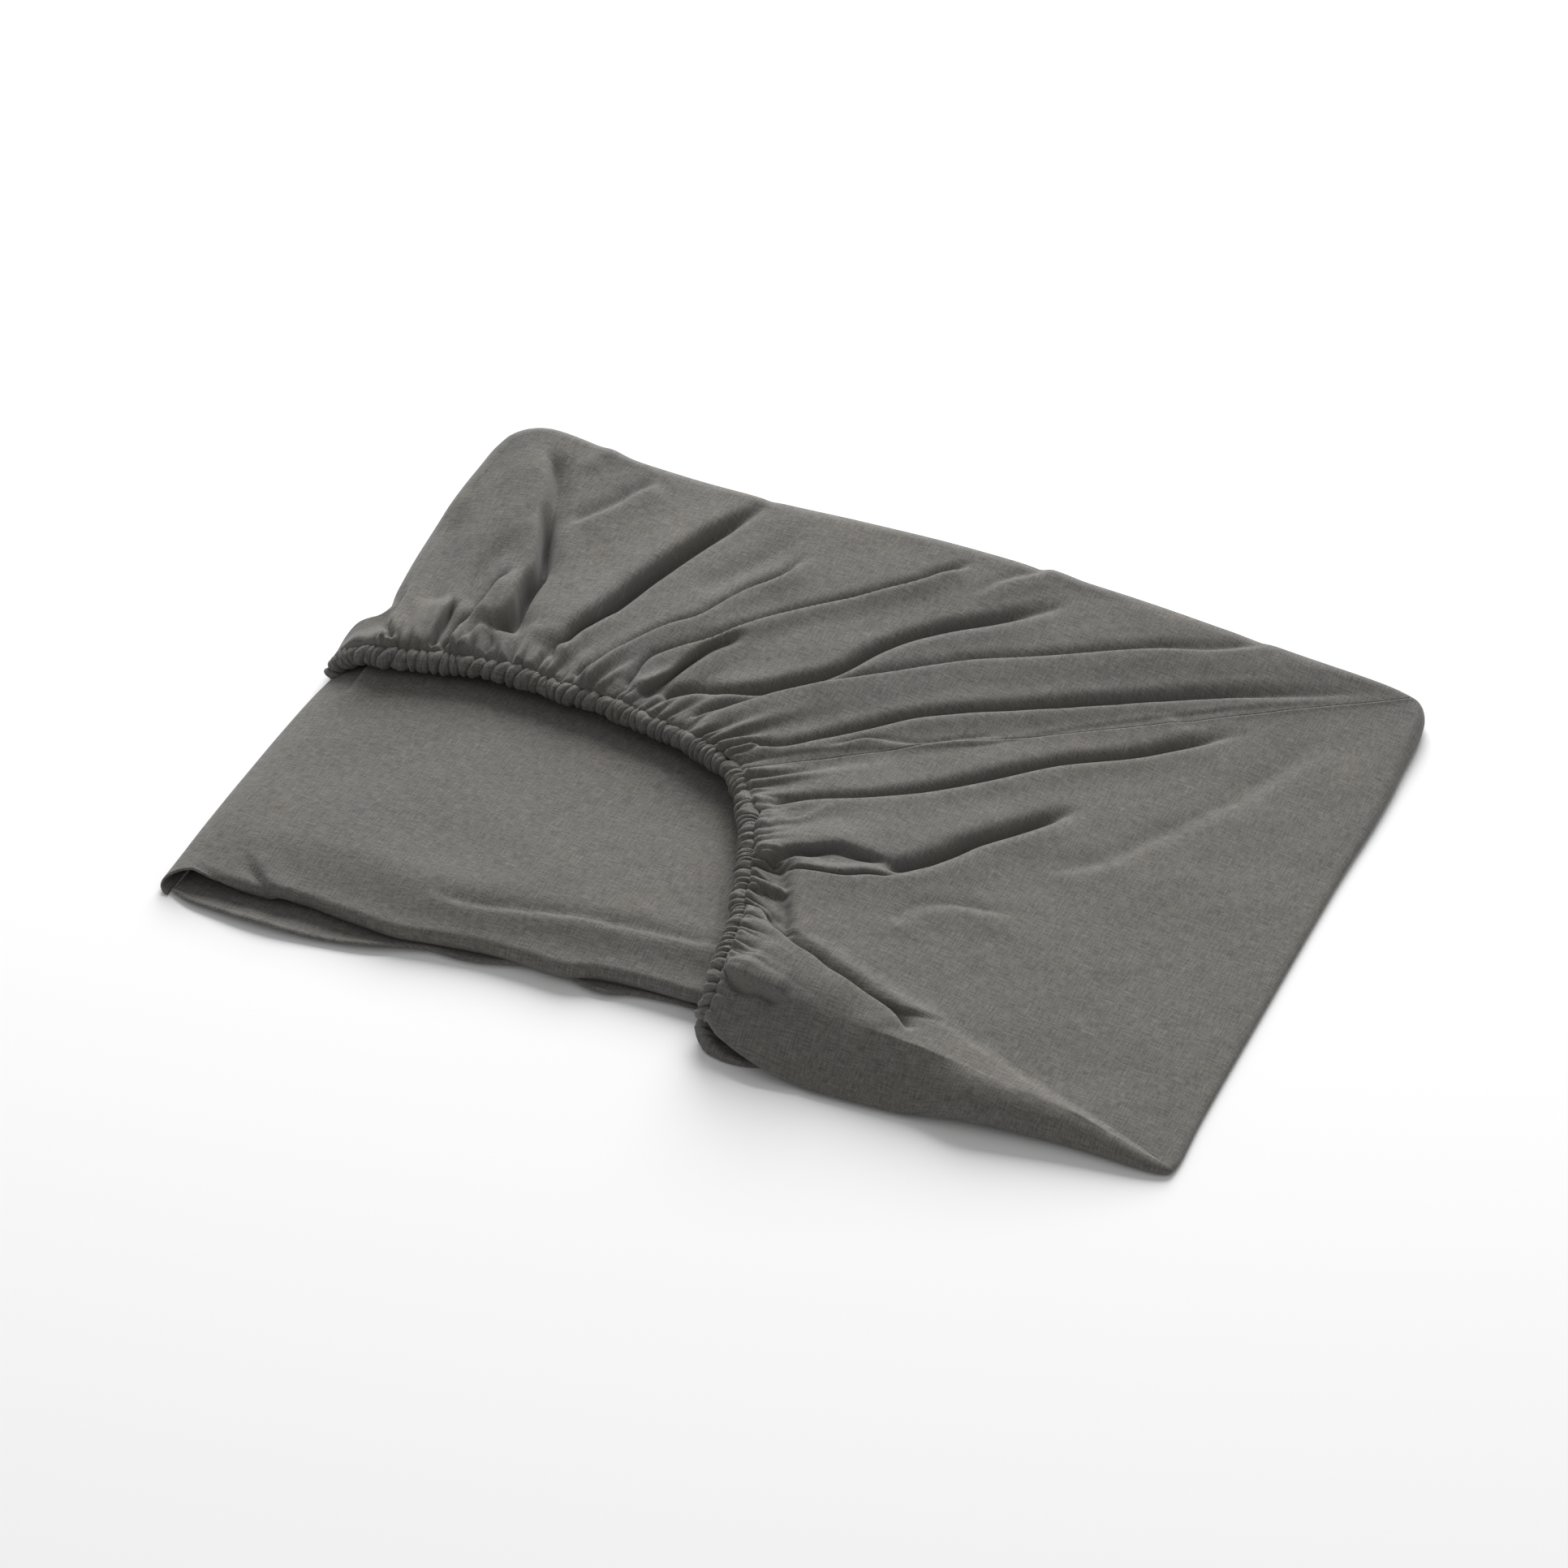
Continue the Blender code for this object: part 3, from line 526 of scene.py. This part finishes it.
# Where the folds of the flap run, from the hem outwards.
FOLDS = {
    "left_valley": Fold([(-204, 29), (-207, 42), (-214, 63), (-224, 92), (-227, 111)],
                        "right", -3.0, 0, 8, 8, 8, 0, 0, 12, 25),
    "left_pinch": Fold([(-194, 4), (-195, 11), (-196, 21), (-197, 30), (-197, 38)],
                       "right", 1.4, 8.0, 8, 1.5, 3.8, 0.8, 0.8, 5, 10),
    "left_fold": Fold([(-184, 5), (-182, 13), (-183, 22), (-181, 35), (-180, 45), (-180, 55),
                       (-176, 67)],
                      "left", 2.2, 8.5, 9, 2.0, 7, 0, 1.6, 6, 18),
    "left_shade": Fold([(-187, 30), (-189, 41), (-193, 57), (-193, 74), (-191, 95)],
                       "right", -2.2, 0, 6, 6, 6, 0, 0, 14, 26),
    "loop_one": Fold([(-178, 7), (-178, 12), (-176, 17), (-174, 24), (-170, 25)],
                     "left", 2.0, 2.2, 2.6, 1, 3, 0, 0.6, 2, 3),
    "loop_two": Fold([(-166, 11), (-164, 15), (-166, 20), (-169, 23)],
                     "left", 1.6, 2.0, 2.4, 1, 2.5, 0, 0.5, 2, 2),
    "left_crest": Fold([(-171, 25), (-170, 31), (-169, 38), (-171, 45), (-172, 56), (-173, 65),
                        (-174, 73), (-176, 81), (-183, 96), (-188, 110), (-193, 124), (-201, 140),
                        (-208, 152)],
                       "right", 2.0, 6.5, 13, 5, 13, 0, 0.6, 8, 18),
    "left_slot": Fold([(-172, 26), (-171, 34), (-171, 43), (-173, 53), (-174, 63), (-174, 71),
                       (-177, 80), (-181, 90), (-186, 103), (-192, 118)],
                      "right", 0.6, 14.0, 4, 1.8, 6.8, 1, 1.4, 5, 34),
    "left_shoulder": Fold([(-163, 34), (-164, 41), (-165, 57), (-169, 78), (-172, 95), (-178, 112)],
                          "left", 1.6, 0, 15, 3, 4, 0, 0, 8, 30),
    "corner_crease": Fold([(-169, 105), (-168, 110), (-164, 118), (-156, 132), (-151, 145),
                           (-145, 154)],
                          "left", 1.4, 3.0, 12, 2.2, 11, 0, 0.5, 12, 8),
    "outline_ridge": Fold([(-182, 143), (-183, 152), (-181, 158), (-175, 167), (-166, 174)],
                          "left", 1.6, 0, 6, 3, 4, 0, 0, 10, 6),
    "second_crest": Fold([(-141, 23), (-140, 39), (-135, 55), (-131, 71), (-126, 89), (-119, 110),
                          (-112, 131), (-106, 146), (-100, 157), (-92, 170)],
                         "right", 2.4, 10.0, 15, 4.6, 7.5, 0, 1.4, 10, 46),
    "second_shoulder": Fold([(-133, 16), (-135, 26), (-133, 33), (-131, 43), (-128, 55),
                             (-125, 65)],
                            "left", 1.6, 4.0, 9, 2, 4, 0, 0.8, 6, 14),
    "third_crest": Fold([(-122, 9), (-117, 12), (-113, 17), (-110, 28), (-106, 37), (-100, 49),
                         (-94, 58), (-85, 67), (-79, 81), (-71, 98), (-61, 111), (-58, 121),
                         (-56, 131)],
                        "left", 2.4, 4.6, 9, 2.5, 7, 0, 0.8, 8, 20),
    "third_hollow": Fold([(-95, 86), (-87, 105), (-77, 120), (-70, 138), (-65, 150)],
                         "right", -2.0, 0, 7, 8, 8, 0, 0, 14, 26),
    "fourth_crest": Fold([(-96, 11), (-93, 16), (-93, 24), (-92, 31), (-85, 41), (-77, 49),
                          (-67, 63), (-54, 80), (-40, 94), (-22, 110), (-11, 121), (1, 133),
                          (7, 141), (18, 151)],
                         "left", 2.4, 5.0, 7, 2, 7, 0, 1.0, 6, 14),
    "fourth_under": Fold([(-91, 9), (-88, 16), (-84, 25), (-81, 35), (-77, 45), (-73, 53),
                          (-67, 61), (-59, 67)],
                         "right", 1.0, 7.0, 5, 2, 6.5, 0.2, 2.0, 6, 14),
    "far_crest": Fold([(26, 129), (31, 137), (37, 148), (46, 155), (56, 167), (68, 172)],
                      "left", 1.4, 1.2, 9, 4, 8, 0, 0.4, 20, 14),
    "fifth_crease": Fold([(-82, 8), (-75, 9), (-65, 14), (-48, 21), (-33, 30), (-23, 40),
                          (-13, 49), (-5, 60), (2, 75), (19, 98), (40, 116), (64, 136), (77, 148)],
                         "left", 1.2, 9.6, 10, 6.0, 8.0, 0, 0.3, 10, 70),
    "fifth_crest": Fold([(-60, -2), (-50, 8), (-36, 21), (-24, 33), (-2, 52), (27, 78), (42, 90),
                         (74, 109), (96, 124), (122, 140), (139, 148), (153, 158), (172, 165),
                         (196, 168)],
                        "left", 2.0, 3.4, 13, 2.5, 7.5, 0, 1.0, 12, 120),
    "sixth_crest": Fold([(-29, -8), (-13, -4), (-2, 7), (14, 23), (30, 40), (48, 54), (61, 63),
                         (86, 79), (117, 101), (148, 122), (188, 144), (206, 156), (222, 166)],
                        "left", 1.0, 13.0, 9, 2.6, 9, 0, 0.4, 12, 215),
    "sixth_ripple": Fold([(9, 7), (14, 14), (21, 20), (30, 23), (40, 27), (49, 33), (58, 41),
                          (70, 49)],
                         "left", 1.6, 1.4, 3, 1.4, 4, 0, 0.5, 8, 14),
    "seventh_crest": Fold([(0, -43), (4, -39), (10, -35), (21, -29), (30, -24), (50, -8), (72, 14),
                           (80, 23), (99, 44), (120, 61), (129, 68), (143, 82), (157, 96),
                           (169, 107)],
                          "left", 0.8, 15.0, 12, 2.8, 9.5, 0, 0.4, 16, 64),
    "seventh_ripple": Fold([(5, -49), (12, -50), (17, -46), (19, -42), (22, -36), (25, -30)],
                           "left", 1.2, 0.8, 2.2, 1.4, 3, 0, 0.3, 4, 8),
    "tube_end": Fold([(1, -43), (0, -49), (1, -57), (4, -65), (8, -72), (14, -79)],
                     "right", 1.6, 5.0, 7, 2.2, 5, 0.2, 1.0, 4, 4),
    "tube_shade": Fold([(12, -79), (14, -72), (17, -66), (27, -61), (36, -55), (47, -54),
                        (59, -51)],
                       "right", 1.8, 4.6, 9, 3.2, 4.5, 0.2, 1.2, 3, 10),
    "tube_lip": Fold([(25, -77), (33, -75), (38, -74), (45, -72), (50, -68), (56, -64), (64, -62)],
                     "right", 1.6, 3.0, 3, 1.6, 2.6, 0, 0.8, 2, 4),
    "pocket_top": Fold([(27, -82), (35, -79), (41, -76), (46, -75), (53, -70), (65, -63),
                        (73, -57)],
                       "left", 0.8, 2.2, 10, 1.6, 2.6, 0, 0.4, 2, 10),
    "eighth_crest": Fold([(61, -65), (68, -60), (73, -54), (77, -49), (80, -44), (85, -36),
                          (89, -28), (101, -11), (113, 7), (124, 22)],
                         "left", 0.9, 12.5, 14, 6.0, 8.5, 0, 0.2, 16, 34),
    "pocket_edge": Fold([(22, -73), (24, -77), (30, -88), (35, -99), (42, -112), (45, -118)],
                        "right", 1.0, 5.5, 10, 2.2, 12, 0.4, 0.8, 1.5, 4),
    "strap": Fold([(11, -96), (18, -96), (24, -94), (29, -91)],
                  "right", 4.0, 1.5, 3.4, 2.4, 2.6, 0, 0.5, 2, 2),
    "near_crease": Fold([(25, -110), (29, -116), (35, -121), (40, -124), (48, -128), (56, -130),
                         (65, -134), (73, -136), (84, -139), (91, -141), (96, -143), (100, -145),
                         (103, -148), (105, -151)],
                        "left", 0.8, 5.0, 10, 2.2, 9, 0, 1.2, 3, 5),
    "hook_crest": Fold([(79, -135), (87, -135), (96, -136), (105, -136), (113, -134), (122, -130)],
                       "right", 1.6, 0.8, 6, 2, 3, 0, 0.4, 8, 14),
    "short_crease": Fold([(26, -146), (32, -150), (38, -152), (45, -152), (51, -153), (56, -154)],
                         "right", 1.6, 4.6, 8, 1.4, 4.5, 0, 1.0, 3, 6),
    "near_trough": Fold([(30, -150), (35, -158), (39, -164), (43, -169)],
                        "right", -2.4, 0, 5, 5, 6, 0, 0, 6, 8),
    "near_swell": Fold([(28, -144), (37, -148), (51, -150), (67, -153), (84, -155)],
                       "right", 3.0, 0, 16, 12, 6, 0, 0, 8, 18),
    "tube_body": Fold([(6, -58), (23, -53), (41, -42), (61, -24)],
                      "left", 1.0, 0, 9, 9, 9, 0, 0, 4, 24),
    "puff_crease": Fold([(-211, 3), (-211, 4), (-214, 7), (-223, 17), (-233, 27)],
                        "left", -3.6, 0, 2.0, 2.0, 2.4, 0, 0, 3, 3),
    "corner_seam": Fold([(-24, -18), (0, 2), (28, 19), (59, 38), (90, 67), (120, 92), (150, 116),
                         (210, 156)],
                        "right", 0.3, 0.6, 2.0, 0.8, 1.6, 0, 0, 8, 40),
    "corner_plane": Fold([(120, -34), (140, -16), (163, 22), (180, 53), (197, 94), (206, 120)],
                         "left", 1.1, 1.2, 24, 8, 14, 0, 0, 30, 30),
    "soft_arch": Fold([(74, -96), (80, -90), (86, -78), (97, -69), (111, -65), (122, -61)],
                      "left", 1.1, 0.7, 8, 5, 8, 0, 0, 10, 12),
    "cross_crease": Fold([(129, 102), (132, 101), (140, 100), (149, 96)],
                         "left", 0.8, 1.2, 4, 1.5, 4, 0, 0, 3, 5),
}


def flap_stations(count):
    """For each column: casing point, side point, and the station's other values, evenly spread."""
    rows = np.array([(*s.casing, *s.side, *s[2:]) for s in STATIONS.values()], float)
    chords = np.linalg.norm(np.diff(rows[:, :5], axis=0), axis=1)
    knots = np.concatenate([[0], np.cumsum(np.sqrt(chords))])
    fine = through(rows, np.linspace(0, knots[-1], FINE_PLACES), knots)
    at_casing = np.linalg.norm(np.diff(fine[:, :3], axis=0), axis=1)
    at_side = np.linalg.norm(np.diff(fine[:, 3:5], axis=0), axis=1)
    spread = np.concatenate([[0], np.cumsum(np.maximum(at_casing, 0.5 * at_side))])
    even = np.interp(np.linspace(0, spread[-1], count), spread, np.arange(FINE_PLACES))
    return through(fine, even), np.concatenate([[0], np.cumsum(at_casing)])[even.astype(int)]


# The ruffles: the elastic draws the cloth into uneven puffs, which run out into small pleats.
# Each ruffle has its own width, size and slant, and the pleats join as they run out.
HEM_LENGTH = 400.0
RUFFLE_WIDTHS = (2.6, 7.8)
RUFFLE_SIZES = (0.35, 1.35)
RUFFLE_SLANTS = (-0.55, 0.55)
RUFFLE_HEIGHT, RUFFLE_LENGTH = 4.4, 10.0
PLEAT_GAPS = (3.0, 8.5)
PLEAT_RIM = 0.3  # a pleat's steep side, as a share of its gentle side
CALM_PLEAT = 6.0  # how long a pleat is where a smooth puff leaves the hem
draw = np.random.default_rng(11)
ruffle_ends = [0.0]
while ruffle_ends[-1] < HEM_LENGTH:
    ruffle_ends.append(ruffle_ends[-1] + draw.uniform(*RUFFLE_WIDTHS))
ruffle_sizes = draw.uniform(*RUFFLE_SIZES, len(ruffle_ends) + 1)
ruffle_slants = draw.uniform(*RUFFLE_SLANTS, len(ruffle_ends) + 1)
Pleat = namedtuple("Pleat", "place width length height")
pleats = []
place = 2.0
while place < HEM_LENGTH:
    size = draw.uniform(0, 1) ** 1.6
    width = (1.6 + 2.0 * size) * draw.choice((-1, 1))
    pleats.append(Pleat(place, width, 9 + 34 * size, 1.6 + 2.2 * size))
    place += draw.uniform(*PLEAT_GAPS)

# The slower ripples that the ruffles leave in the cloth further out.
Ripple = namedtuple("Ripple", "height away length rate start")
RIPPLES = [Ripple(1.3, 12, 16, 1.0, 1), Ripple(1.0, 30, 26, 0.45, 2)]
Wave = namedtuple("Wave", "height length seed")
FLAP_WAVES = [Wave(0.4, 70, 3), Wave(0.16, 24, 8)]
WAVES_FROM = 30.0


def ruffle(run_length, slant_turn=0.0):
    """The ruffle at a place along the hem: its number with its part, and its size."""
    number = np.interp(run_length, ruffle_ends, np.arange(len(ruffle_ends)))
    numbers = np.arange(len(ruffle_ends) + 1)
    number = number + np.interp(number, numbers, ruffle_slants) * slant_turn
    return number, np.interp(number, numbers, ruffle_sizes)


def hem_frame(columns):
    """The ridge of the flap above each column, and the hem's directions: along, back and over."""
    casing, side, inset = columns[:, :3], columns[:, 3:5], columns[:, 6][:, None]
    run = unit(np.gradient(side, axis=0))
    out = np.stack([-run[:, 1], run[:, 0]], axis=1)
    wrap = np.radians(np.minimum(columns[:, 8], 180))[:, None]
    height = columns[:, 5][:, None]
    turn = wrap * np.linspace(0, 1, WRAP_ROWS)
    plan = (side - out * inset)[:, None, :] + out[:, None, :] * (inset * np.sin(turn))[..., None]
    rise = LAYER_HEIGHT + (height - LAYER_HEIGHT) * ((1 - np.cos(turn)) / 2) ** WRAP_SAG
    plane = ROLL_EDGE + (height - ROLL_EDGE) * (1 - np.clip(np.sin(turn), 0, 1) ** ROLL_SLOPE)
    under = LAYER_HEIGHT + (ROLL_EDGE - LAYER_HEIGHT) * (1 - np.cos(turn))
    rolled = np.where(turn > np.pi / 2, plane, under)
    rise = rise + (rolled - rise) * ease((inset - ROLL_FROM) / ROLL_OVER)
    wrapped = np.concatenate([plan, rise[..., None]], axis=2)
    back = wrapped[:, -1] - casing
    back[:, 2] = 0
    along_hem = unit(np.gradient(casing, axis=0))
    back = unit(back - along_hem * (back * along_hem).sum(axis=1, keepdims=True))
    return wrapped, turn, out, back, np.cross(along_hem, back)


columns, hem_run = flap_stations(FLAP_COLUMNS)
casing, puff = columns[:, :3], columns[:, 7][:, None]
flap_wrap, turn, out, back, over = hem_frame(columns)
ridge = flap_wrap[:, -1].copy()
sewn = back * np.cos(GATHER_ANGLE) + over * np.sin(GATHER_ANGLE)
start = (casing + CASING_RADIUS * SEWN_AT * sewn)[:, None]
share = np.linspace(1, 0, TOP_ROWS + 1)[1:] ** TOP_CROWDING
top_plan = start[..., :2] + (ridge[:, None, :2] - start[..., :2]) * share[:, None]
bow = columns[:, 9][:, None] * 4 * share * (1 - share)
top_plan = top_plan + bow[..., None] * np.array(BOW_TOWARD)
width = np.linalg.norm(ridge - casing, axis=1)[:, None]
reach = width * share
rise = start[..., 2] + (ridge[:, None, 2] - start[..., 2]) * share
rise = rise + puff * share / PUFF_AT * np.exp(1 - share / PUFF_AT)
wide = ease((width - SMALL_WIDTH) / (FULL_WIDTH - SMALL_WIDTH))
lively = np.ones((FLAP_COLUMNS, 1))
for low, high in CALM:
    calm = ease((hem_run - low) / CALM_FADE) * ease((high - hem_run) / CALM_FADE)
    lively *= 1 - CALM_SHARE * calm[:, None]
phase, size = (part[:, None] for part in ruffle(hem_run))
gathered = np.abs(np.sin(np.pi * phase)) ** 0.5
close = np.exp(-((reach / RUFFLE_LENGTH) ** 2)) * ease(reach / 2)
rise = rise + wide * RUFFLE_HEIGHT * size * (gathered - 0.6) * close
for ripple in RIPPLES:
    wave = np.sin(ripple.rate * np.pi * phase + ripple.start)
    place = np.exp(-(((reach - ripple.away) / ripple.length) ** 2))
    rise = rise + lively * wide * ripple.height * wave * place
for pleat in pleats:
    across = (hem_run[:, None] - pleat.place) / pleat.width
    shape = np.exp(-(np.where(across > 0, across / PLEAT_RIM, across) ** 2))
    length = pleat.length * lively + CALM_PLEAT * (1 - lively)
    rise += wide * pleat.height * shape * ease(reach / 3) * (1 - ease(reach / length))
fold_height, fold_push = fold_shapes(np.concatenate([ridge[:, None, :2], top_plan], axis=1), FOLDS)
near_hem = ease(reach / 5) * wide
rise = rise + fold_height[:, 1:] * near_hem
for wave in FLAP_WAVES:
    slow = waves(top_plan[..., 0], top_plan[..., 1], wave.seed, wave.length)
    rise = rise + wave.height * slow * ease(reach / WAVES_FROM)
away = reach / OVERHANG_AWAY
bulge = OVERHANG * size * (gathered - 0.2) * away * np.exp(1 - away) * wide
top_plan = top_plan + fold_push[:, 1:] * near_hem[..., None] - back[:, None, :2] * bulge[..., None]
flap_top = np.concatenate([top_plan, rise[..., None]], axis=2)
upper = ease((turn - np.pi / 2) / (np.pi / 2)) * wide
flap_wrap[..., 2] += fold_height[:, :1] * upper
flap_wrap[..., :2] += fold_push[:, :1] * upper[..., None]
flap = np.concatenate([flap_wrap, flap_top], axis=1)

# The folds are evened out a little, along the hem and out from it.
last = flap.shape[1] - HEM_ROWS
for _ in range(SOFTENING):
    flap[1:-1] = flap[1:-1] / 2 + (flap[:-2] + flap[2:]) / 4
    beside = flap[:, WRAP_ROWS - 1:last - 1] + flap[:, WRAP_ROWS + 1:last + 1]
    flap[:, WRAP_ROWS:last] = flap[:, WRAP_ROWS:last] / 2 + beside / 4

# The weave runs straight over the flap and on down its sides. The corner seam joins the two side
# panels of the sheet, so it parts the flap in two.
wrap_reach = columns[:, 6][:, None] * (turn[:, -1:] - turn) * SIDE_WEAVE
wrap_threads = ridge[:, None, :2] + out[:, None] * wrap_reach[..., None]
flap_threads = np.concatenate([wrap_threads, top_plan], axis=1)
seam = int(np.argmin(np.linalg.norm(columns[:, 3:5] - CORNER_SEAM, axis=1)))
far_flap = cloth_piece("far_flap", flap[:seam + 1], flap_threads[:seam + 1])
near_flap = cloth_piece("near_flap", flap[seam:], flap_threads[seam:])
finish_cloth(far_flap, FLAP_THICKNESS)
finish_cloth(near_flap, FLAP_THICKNESS)

# The elastic hem. The flap's edge is turned over a narrow elastic and sewn down, which makes a
# tube of tight ribs. At both of its ends the real tube goes on under the layers, out of sight.
HEM_COLUMNS = 1600
HEM_TURN = np.radians(np.linspace(25, 345, 20))
RIB_DEPTH = 0.6
RIB_SHARPNESS = 0.55
FINE_RIBS, FINE_SLANT, FINE_DEPTH = 2.3, 0.6, 0.15  # small ribs within each ruffle
columns, hem_run = flap_stations(HEM_COLUMNS)
casing = columns[:, :3]
_, _, _, back, over = hem_frame(columns)
slant = np.sin(HEM_TURN - 2.4)[None, :]
number, size = ruffle(hem_run[:, None], slant)
rib = np.abs(np.sin(np.pi * number)) ** RIB_SHARPNESS
fine_rib = np.abs(np.sin(np.pi * (FINE_RIBS * number + FINE_SLANT * slant))) ** 0.8
ribbed = RIB_DEPTH * rib * (0.5 + 0.62 * size) + FINE_DEPTH * fine_rib
radius = CASING_RADIUS * (1 - RIB_DEPTH + ribbed)
tube = casing[:, None] + radius[..., None] * (
    back[:, None] * np.cos(HEM_TURN)[:, None] + over[:, None] * np.sin(HEM_TURN)[:, None]
)
hem_threads = np.stack(np.broadcast_arrays(hem_run[:, None], CASING_RADIUS * HEM_TURN), axis=2)
elastic_hem = cloth_piece("elastic_hem", tube, hem_threads)
finish_cloth(elastic_hem, FLAP_THICKNESS)

# The turned edge at the near end. There the hem runs out into the cloth's raw fold, which lies on
# the surface like a lip, open towards the near side, and goes in under the flap.
LIP_LINES = {
    "outside": [(19, -164, 5), (22.5, -168.5, 2.5), (28, -172.5, 0.8), (36, -174.5, 0.7),
                (44, -174.5, 0.7), (50, -173, 0.7), (55, -171, 0.7)],
    "rim": [(21.5, -162.5, 9), (25, -166.5, 6), (30, -170, 4), (37, -172.3, 2.8),
            (44, -172.6, 2.2), (50, -171.3, 1.6), (54.5, -170, 1.2)],
    "bottom": [(31, -160, 4), (33, -163.5, 1.5), (36, -166, 0.9), (41, -168, 0.8),
               (47, -168.5, 0.8), (52, -168, 0.8), (56, -167.5, 0.8)],
    "inside": [(36, -152, 6), (38, -155, 2), (41, -158, 1.2), (46, -160, 1), (51, -161, 0.9),
               (55, -161.5, 0.9), (58, -162, 0.8)],
}
LIP_COLUMNS, LIP_ROWS = 70, 26
LIP_RIB_HEIGHT, LIP_RIB_RATE = 0.5, 9.5  # the last ribs of the hem run out along the rim
lip_across = np.linspace(0, len(LIP_LINES["rim"]) - 1, LIP_COLUMNS)
lip_up = np.linspace(0, len(LIP_LINES) - 1, LIP_ROWS)
lip_lines = [through(line, lip_across) for line in LIP_LINES.values()]
lip = np.stack([through(np.array(lines), lip_up) for lines in zip(*lip_lines)])
lip_rib = LIP_RIB_HEIGHT * np.sin(lip_across * LIP_RIB_RATE) * ease(1 - lip_across / 4)
lip[..., 2] += lip_rib[:, None] * np.exp(-((lip_up - 1) ** 2))
turned_edge = cloth_piece("turned_edge", lip, lip[..., :2])
finish_cloth(turned_edge, FLAP_THICKNESS)

# The floor and the light: a white floor that runs out of view, a wide soft window, low behind the
# sheet and a little to its left, and an even white room. The floor is matt white paper, which
# takes the sheet's soft shadow and shows no grain.
floor_mesh = bmesh.new()
bmesh.ops.create_grid(floor_mesh, x_segments=1, y_segments=1, size=4)
floor_data = bpy.data.meshes.new("floor")
floor_mesh.to_mesh(floor_data)
floor_mesh.free()
floor = bpy.data.objects.new("floor", floor_data)
bpy.context.scene.collection.objects.link(floor)
paper = bpy.data.materials.new("white_paper")
paper.use_nodes = True
paper.node_tree.nodes["Principled BSDF"].inputs["Base Color"].default_value = linear("f4f4f4")
paper.node_tree.nodes["Principled BSDF"].inputs["Roughness"].default_value = 0.9
floor_data.materials.append(paper)

ROOM_STRENGTH = 0.40
room_light = bpy.data.worlds.new("white_room")
room_light.use_nodes = True
room_light.node_tree.nodes["Background"].inputs["Color"].default_value = (1, 1, 1, 1)
room_light.node_tree.nodes["Background"].inputs["Strength"].default_value = ROOM_STRENGTH
bpy.context.scene.world = room_light
bpy.context.scene.view_settings.view_transform = "Standard"

WINDOW_PLACE, WINDOW_SIZE, WINDOW_POWER = Vector((-0.7, 2.72, 1.75)), 2.2, 178.0
lamp = bpy.data.lights.new("back_window", "AREA")
lamp.energy, lamp.size = WINDOW_POWER, WINDOW_SIZE
window = bpy.data.objects.new("back_window", lamp)
window.location = WINDOW_PLACE
window.rotation_euler = WINDOW_PLACE.to_track_quat("Z", "Y").to_euler()
bpy.context.scene.collection.objects.link(window)

# The camera: to the right of the near side and 37 degrees up, 1.81 m away.
CAMERA_TURN, CAMERA_RISE = np.radians(23.5), np.radians(37.2)
CAMERA_AWAY = 1.81
LENS, SENSOR = 93.2, 36.0
PHOTO_SIDE = 1932
CENTRE_OFFSET = (33, 27)  # where the photo shows the sheet's centre, in pixels right and down
toward = Vector((
    np.sin(CAMERA_TURN) * np.cos(CAMERA_RISE),
    -np.cos(CAMERA_TURN) * np.cos(CAMERA_RISE),
    np.sin(CAMERA_RISE),
))
view = bpy.data.cameras.new("photo_view")
view.lens, view.sensor_width = LENS, SENSOR
view.shift_x = -CENTRE_OFFSET[0] / PHOTO_SIDE
view.shift_y = CENTRE_OFFSET[1] / PHOTO_SIDE
camera = bpy.data.objects.new("photo_view", view)
camera.location = toward * CAMERA_AWAY
camera.rotation_euler = toward.to_track_quat("Z", "Y").to_euler()
bpy.context.scene.collection.objects.link(camera)
bpy.context.scene.camera = camera
